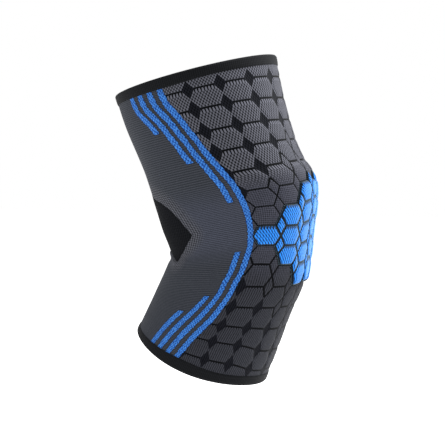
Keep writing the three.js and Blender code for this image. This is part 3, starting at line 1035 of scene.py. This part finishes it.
@dataclass
class PatellaPad:
    """The pad over the kneecap: domed hexagons and lozenges in one closed body.

    Reaches are columns and rows of the pattern, maps are boxes of the bake map, and other sizes are
    millimetres or shares.
    """

    leg: LegForm
    cells: Honeycomb
    finish: PadKnit
    columns: int = 3
    rows: int = 2
    gap: float = 0.6
    under: float = 0.55
    rim_under: float = 0.1
    crown: float = 3.6
    edge: float = 1.3
    side_reach: float = 3.5
    end_reach: float = 3.1
    end_power: int = 8
    groove_share: float = 0.68
    rim_share: float = 0.1
    rim_ease: float = 3
    dome_mm: float = 4
    side_steps: int = 8
    rings: int = 12
    ring_power: float = 1.3
    chart_reach: tuple[float, float] = (3.6, 3.1)
    upper_map: tuple[float, float, float, float] = (0.01, 0.31, 0.98, 0.68)
    lower_map: tuple[float, float, float, float] = (0.01, 0.01, 0.5, 0.28)
    fill: float = 0.8

    def corners(self) -> tuple[np.ndarray, np.ndarray]:
        """Corners of all cells, in columns and rows.

        Returns:
            Hexagons, shaped count, 6 and 2, and lozenges, shaped count, 4 and 2.
        """
        flat, half = self.cells.flat, 0.5 - self.cells.flat
        hexagon = np.array([[-0.5, 0], [-flat, -0.5], [flat, -0.5], [0.5, 0], [flat, 0.5], [-flat, 0.5]])
        lozenge = np.array([[-half, 0], [0, -0.5], [half, 0], [0, 0.5]])
        reach = self.columns
        grid = np.stack(np.meshgrid(np.arange(-reach, reach + 1.0), np.arange(-reach, reach + 1.0)), -1)
        whole = grid.reshape(-1, 2)
        whole = whole[(np.abs(whole).sum(1) <= reach) & (np.abs(whole[:, 1]) <= self.rows)]
        halves = (grid[:-1, :-1] + 0.5).reshape(-1, 2)
        halves = halves[(np.abs(halves).sum(1) <= reach) & (halves[:, 1] > -self.rows)]
        return whole[:, None] + hexagon, halves[:, None] + lozenge

    def fan(self, corners: np.ndarray) -> tuple[np.ndarray, np.ndarray, np.ndarray, np.ndarray]:
        """Cells as rings of points round their middle, each ring the outline drawn in by a share.

        Args:
            corners: Corners of cells of one kind, shaped count, sides and 2.

        Returns:
            Places in columns and rows, shaped count, points and 2; millimetres from each to the
            nearest side; faces of four and of three corners, numbered within all the cells.
        """
        count = len(corners)
        ends = np.roll(corners, -1, axis=1)
        t = np.arange(self.side_steps)[:, None] / self.side_steps
        outline = (corners[:, :, None] * (1 - t) + ends[:, :, None] * t).reshape(count, -1, 2)
        middle = corners.mean(1)[:, None, None]
        shares = 1 - np.linspace(0, 1, self.rings + 1)[:-1] ** self.ring_power
        rings = middle + (outline[:, None] - middle) * shares[:, None, None]
        places = np.concatenate([rings.reshape(count, -1, 2), middle[:, 0]], 1)
        scale = np.array([self.cells.slant_mm, self.cells.row_mm])
        along = (ends - corners) * scale
        normal = np.stack([-along[..., 1], along[..., 0]], -1)
        normal /= np.linalg.norm(along, axis=-1, keepdims=True)
        reach = (places[:, :, None] - corners[:, None]) * scale
        depth = (reach * normal[:, None]).sum(-1).min(-1)
        width = outline.shape[1]
        ring, step = np.meshgrid(np.arange(self.rings - 1), np.arange(width), indexing="ij")
        after = (step + 1) % width
        here, inward = ring * width, (ring + 1) * width
        quads = np.stack([here + step, here + after, inward + after, inward + step], -1).reshape(-1, 4)
        last = (self.rings - 1) * width + np.arange(width)
        tips = np.stack([last, np.roll(last, -1), np.full(width, self.rings * width)], -1)
        start = (np.arange(count) * places.shape[1])[:, None, None]
        return places, depth, (quads + start).reshape(-1, 4), (tips + start).reshape(-1, 3)

    def height(self, column: np.ndarray, row: np.ndarray) -> np.ndarray:
        """Height over the seat: full in the middle columns and thin at the side tips and the ends.

        The crown falls to the edge's height by the square of one less the column's share squared,
        and by one less a high power of the row's share.

        Args:
            column: Honeycomb column, from the front.
            row: Honeycomb row.

        Returns:
            The heights, in millimetres.
        """
        aside = np.clip(1 - (column / self.side_reach) ** 2, 0, 1)
        inward = 1 - np.clip(np.abs(row) / self.end_reach, 0, 1) ** self.end_power
        return self.edge + (self.crown - self.edge) * aside**2 * inward

    def build(self) -> bpy.types.Object:
        """The closed mesh. A point's height is that of the pad there, times a share that eases up
        from the grooves, and from the thin rim of the pad, to 1 over the cell.

        Returns:
            The pad.
        """
        fans = [self.fan(corners) for corners in self.corners()]
        sizes = [fan[0].shape[0] * fan[0].shape[1] for fan in fans]
        starts = np.concatenate([[0], np.cumsum(sizes)[:-1]])
        places = np.concatenate([fan[0].reshape(-1, 2) for fan in fans])
        depth = np.concatenate([fan[1].ravel() for fan in fans])
        quads = np.concatenate([fan[2] + start for fan, start in zip(fans, starts)])
        tips = np.concatenate([fan[3] + start for fan, start in zip(fans, starts)])
        grain = np.rint(places * MERGE_GRAIN)
        _, first, merged = np.unique(grain, axis=0, return_index=True, return_inverse=True)
        merged = merged.ravel()
        places, depth, quads, tips = places[first], depth[first].clip(0), merged[quads], merged[tips]
        count = len(places)
        on_rim = np.zeros(count, bool)
        on_rim[rim_sides(count, quads, tips).ravel()] = True
        column, row = places.T
        flat = places * [self.cells.slant_mm, self.cells.row_mm]
        rim_gap = np.sqrt(((flat[:, None] - flat[on_rim][None]) ** 2).sum(-1).min(1))
        base = self.rim_share + (self.groove_share - self.rim_share) * smooth(rim_gap / self.rim_ease)
        share = base + (1 - base) * (1 - (1 - np.clip(depth / self.dome_mm, 0, 1)) ** 2)
        angle, level = self.cells.place(self.leg, column, row)
        top = self.leg.skin(angle, level, self.gap + self.height(column, row) * share)
        under = self.leg.skin(angle, level, np.where(on_rim, self.rim_under, self.under))
        chart = places / np.array(self.chart_reach) / 2 + 0.5
        upper, lower = on_map(chart, self.upper_map), on_map(chart, self.lower_map)
        faces, charts = close_sheet(count, (quads, tips), upper, lower)
        marks = {
            "column": np.tile(np.abs(column), 2),
            "row": np.tile(row, 2),
            "edge": np.concatenate([depth, np.zeros(count)]),
        }
        return make_piece("patella_pad_knit", np.concatenate([top, under]), faces, charts, marks)

    def dress(self, piece: bpy.types.Object) -> None:
        """Gives the pad its knit and its place in the record."""
        seat(piece, self.finish.make(self.cells), "patella_pad")


@dataclass
class PoplitealPanel:
    """The dark panel of rib knit in the hollow of the knee, thin at its edge and flush with the knit.

    Sizes are millimetres, and maps are boxes of the bake map.
    """

    leg: LegForm
    outline: PanelOutline
    finish: RibKnit
    seat_depth: float = 1.25
    seat_from: float = 0.36
    seat_ease: float = 1.2
    clearance: float = 0.1
    edge: float = 0.02
    proud: float = 0.15
    proud_ease: float = 2
    steps: int = 120
    rows: int = 50
    outer_map: tuple[float, float, float, float] = (0.01, 0.01, 0.68, 0.68)
    inner_map: tuple[float, float, float, float] = (0.71, 0.01, 0.28, 0.28)

    def build(self) -> bpy.types.Object:
        """The closed mesh: an outer face on the skin and an inner face in the sleeve's seat, both
        on a grid from tip to tip and from the lower to the upper edge, closer at the edges.

        Returns:
            The panel.
        """
        corners = np.array(PANEL_EDGES, float)[:, 0]
        even = np.linspace(-corners[-1], corners[-1], self.steps + 1)
        turns = np.unique(np.round(np.concatenate([even, corners, -corners]), decimals=4))
        shares = (1 - np.cos(np.linspace(0, math.pi, self.rows + 1))) / 2
        turn, share = np.meshgrid(turns, shares, indexing="ij")
        angle = 180 + turn
        _, lower, upper = self.outline.edges(180 - np.abs(turn))
        row = lower + (upper - lower) * share
        inward = -self.outline.distance(180 - np.abs(turn), row)
        lift = self.clearance + self.edge + self.proud * smooth(inward / self.proud_ease)
        sink = self.seat_depth * smooth((inward - self.seat_from) / self.seat_ease)
        top = self.leg.skin(angle, row, lift)
        under = self.leg.skin(angle, row, self.clearance - sink)
        across = self.rows + 1
        i, j = np.meshgrid(np.arange(len(turns) - 1), np.arange(self.rows), indexing="ij")
        a = i * across + j
        quads = np.stack([a, a + across, a + across + 1, a + 1], -1).reshape(-1, 4)
        chart = np.stack([turn / corners[-1] / 2 + 0.5, share], -1).reshape(-1, 2)
        outside, inside = on_map(chart, self.outer_map), on_map(chart, self.inner_map)
        faces, charts = close_sheet(turn.size, (quads,), outside, inside)
        marks = {
            "across": np.tile((turn * self.outline.degree_mm).ravel(), 2),
            "along": np.tile((row * self.outline.row_mm).ravel(), 2),
        }
        points = np.concatenate([top.reshape(-1, 3), under.reshape(-1, 3)])
        return make_piece("popliteal_panel_knit", points, faces, charts, marks)

    def dress(self, piece: bpy.types.Object) -> None:
        """Gives the panel its knit and its place in the record."""
        seat(piece, self.finish.make(), "popliteal_panel")


@dataclass
class FoldedHem:
    """An elastic band folded over one rim of the sleeve. Sizes are millimetres, and the band's depth
    on the leg goes over from its share in front to that at the sides within the side angles."""

    leg: LegForm
    rim: Rim
    finish: RibKnit
    front_share: float = 1.0
    side_share: float = 1.0
    depth: float = 9.2
    thickness: float = 2.2
    side_angles: tuple[float, float] = (50, 100)
    proud: float = 0.8
    lip: float = 0.35
    swell_power: int = 7
    fold: float = 2.2
    cavity: float = 0.25
    cavity_top: float = 1.5
    cavity_nose: float = 1
    degree_mm: float = 1.2
    turns: int = 400
    face_steps: int = 16
    fold_steps: int = 16

    def profile(self) -> np.ndarray:
        """The closed section, as rows of depth below the rim and offset from the skin.

        The two faces swell from a thin lip to their full height, a half ellipse folds over the rim
        between them, and a slot between the plies takes the sleeve's edge.

        Returns:
            The points, from the outer lip over the fold to the inner lip and back through the slot.
        """
        down = np.linspace(self.depth, self.fold, self.face_steps, endpoint=False)
        swell = self.lip + (self.proud - self.lip) * (1 - (down / self.depth) ** self.swell_power)
        turn = np.linspace(0, math.pi, self.fold_steps)
        middle, reach = -self.thickness / 2, self.thickness / 2 + self.proud
        over = np.stack([self.fold - self.fold * np.sin(turn), middle + reach * np.cos(turn)], -1)
        outer = np.stack([down, swell], -1)
        inner = np.stack([down, 2 * middle - swell], -1)[::-1]
        slot = np.array([
            [self.depth, 2 * middle - self.cavity],
            [self.cavity_top + self.cavity_nose, 2 * middle - self.cavity],
            [self.cavity_top, middle],
            [self.cavity_top + self.cavity_nose, self.cavity],
            [self.depth, self.cavity],
        ])
        return np.concatenate([outer, over, inner, slot])

    def build(self) -> bpy.types.Object:
        """The section carried once round the rim, its faces longer at the sides than in front.

        Returns:
            The hem.
        """
        rim_row, way, row_mm = self.rim.value
        section = self.profile()
        if way < 0:
            section = section[::-1]
        angles = np.arange(self.turns) * 360 / self.turns - 180
        angle, depth = np.meshgrid(angles, section[:, 0], indexing="ij")
        side_from, side_to = self.side_angles
        sideways = smooth((np.abs(angle) - side_from) / (side_to - side_from))
        share = self.front_share + (self.side_share - self.front_share) * sideways
        depth = np.where(depth > self.fold, self.fold + (depth - self.fold) * share, depth)
        row = rim_row - way * depth / row_mm
        points = self.leg.skin(angle, row, section[:, 1])
        steps = len(section)
        length = np.hypot(*np.diff(section, axis=0, append=section[:1]).T)
        edges = np.concatenate([[0], np.cumsum(length)]) / length.sum()
        marks = {"across": np.abs(angle) * self.degree_mm, "along": depth}
        return make_piece(
            f"{self.rim.name.lower()}_hem",
            points.reshape(-1, 3),
            [ring_faces(self.turns, steps).reshape(-1, 4)],
            [ring_places(self.turns, edges[:-1], edges[1:])],
            marks,
        )

    def dress(self, piece: bpy.types.Object) -> None:
        """Gives the hem its elastic and its place in the record."""
        node = "upper_hem" if self.rim is Rim.THIGH else "lower_hem"
        seat(piece, self.finish.make(), node)


def direction(azimuth: float, elevation: float) -> Vector:
    """The way from the knee to a place, by degrees round from the front to +X and degrees up."""
    a, e = math.radians(azimuth), math.radians(elevation)
    return Vector((math.sin(a) * math.cos(e), -math.cos(a) * math.cos(e), math.sin(e)))


@dataclass(frozen=True)
class Softbox:
    """A square area light that faces the knee: degrees round and up, watts, and metres."""

    name: str
    azimuth: float
    elevation: float
    power: float
    distance: float = 1.6
    size: float = 0.8

    def build(self) -> None:
        """Adds the light to the scene."""
        way = direction(self.azimuth, self.elevation)
        data = bpy.data.lights.new(self.name, "AREA")
        data.size, data.energy = self.size, self.power
        light = bpy.data.objects.new(self.name, data)
        light.rotation_mode = "QUATERNION"
        light.rotation_quaternion = way.to_track_quat("Z", "Y")
        light.location = way * self.distance
        bpy.context.scene.collection.objects.link(light)


@dataclass
class Studio:
    """Camera, soft lights and a pale floor, in metres and degrees."""

    azimuth: float = -72
    elevation: float = 3.5
    distance: float = 1.6
    frame_width: float = 0.3916
    aim_right: float = -0.0198
    aim_up: float = 0.0084
    sensor: float = 36
    clip: tuple[float, float] = (0.05, 60)
    floor_height: float = -0.34
    floor_size: float = 12
    floor_colour: str = "#f4f4f4"
    floor_glow: float = 0.3
    lights: tuple[Softbox, ...] = (
        Softbox("key", azimuth=32, elevation=58, power=75),
        Softbox("rim", azimuth=-165, elevation=20, power=7),
    )

    def camera(self) -> None:
        """A camera on the photograph's line of sight, aimed beside the origin as framed there."""
        turn = math.radians(self.azimuth)
        right = Vector((math.cos(turn), math.sin(turn), 0))
        back = direction(self.azimuth, self.elevation)
        up = back.cross(right)
        data = bpy.data.cameras.new("camera")
        data.sensor_width = self.sensor
        data.lens = self.sensor * self.distance / self.frame_width
        data.clip_start, data.clip_end = self.clip
        camera = bpy.data.objects.new("camera", data)
        camera.matrix_world = Matrix((right, up, back)).transposed().to_4x4()
        camera.location = right * self.aim_right + up * self.aim_up + back * self.distance
        bpy.context.scene.collection.objects.link(camera)
        bpy.context.scene.camera = camera

    def floor(self) -> None:
        """A wide pale floor under the hanging sleeve, a little self-lit so that it stays plain."""
        half = self.floor_size / 2
        mesh = bpy.data.meshes.new("floor")
        ends = [(-half, -half), (half, -half), (half, half), (-half, half)]
        mesh.from_pydata([(x, y, self.floor_height) for x, y in ends], [], [(0, 1, 2, 3)])
        material = new_material("Matt_white_paper")
        add = partial(add_node, material.node_tree)
        pale = linear(self.floor_colour)
        shader = add(
            "BsdfPrincipled",
            named={
                "Base Color": pale,
                "Roughness": 1.0,
                "Specular IOR Level": 0.0,
                "Emission Color": pale,
                "Emission Strength": self.floor_glow,
            },
        )
        add("OutputMaterial", shader)
        mesh.materials.append(material)
        floor = bpy.data.objects.new("floor", mesh)
        bpy.context.scene.collection.objects.link(floor)

    def world(self) -> None:
        """An even white surround."""
        world = bpy.data.worlds.new("surround")
        world.use_nodes = True
        world.node_tree.nodes.clear()
        light = add_node(world.node_tree, "Background", (1.0, 1.0, 1.0, 1.0), 1.0)
        add_node(world.node_tree, "OutputWorld", light)
        bpy.context.scene.world = world

    def build(self) -> None:
        """Sets up the whole studio."""
        self.camera()
        self.world()
        self.floor()
        for light in self.lights:
            light.build()
        settings = bpy.context.scene.view_settings
        settings.view_transform, settings.look = "Standard", "None"


def report(piece: bpy.types.Object) -> None:
    """Logs a piece's name and number of triangles."""
    count = sum(len(face.vertices) - 2 for face in piece.data.polygons)
    LOG.info("%s: %d triangles", piece.name, count)


def main() -> None:
    """Builds and dresses the support, then the studio."""
    logging.basicConfig(level=logging.INFO, format="%(name)s %(message)s")
    Studio().build()
    leg, cells, outline = LegForm(LEG_SECTIONS), Honeycomb(), PanelOutline()
    panel_knit = RibKnit(
        name="Black_rib_knit", light="#121316", dark="#07080a", rib_mm=2.2, sheen=0.01, specular=0.02
    )
    elastic = RibKnit(name="Black_hem_elastic", light="#141518", dark="#090a0b", rib_mm=1.8)
    sleeve = KnitSleeve(leg, cells, Stripes(), outline, JacquardKnit())
    parts = [
        sleeve,
        PoplitealPanel(leg, outline, panel_knit),
        FoldedHem(leg, Rim.THIGH, elastic, front_share=0.92, side_share=1.15),
        FoldedHem(leg, Rim.CALF, elastic, front_share=0.68),
        PatellaPad(leg, cells, PadKnit()),
    ]
    for part in parts:
        piece = part.build()
        part.dress(piece)
        report(piece)
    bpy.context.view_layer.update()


if __name__ == "__main__":
    main()
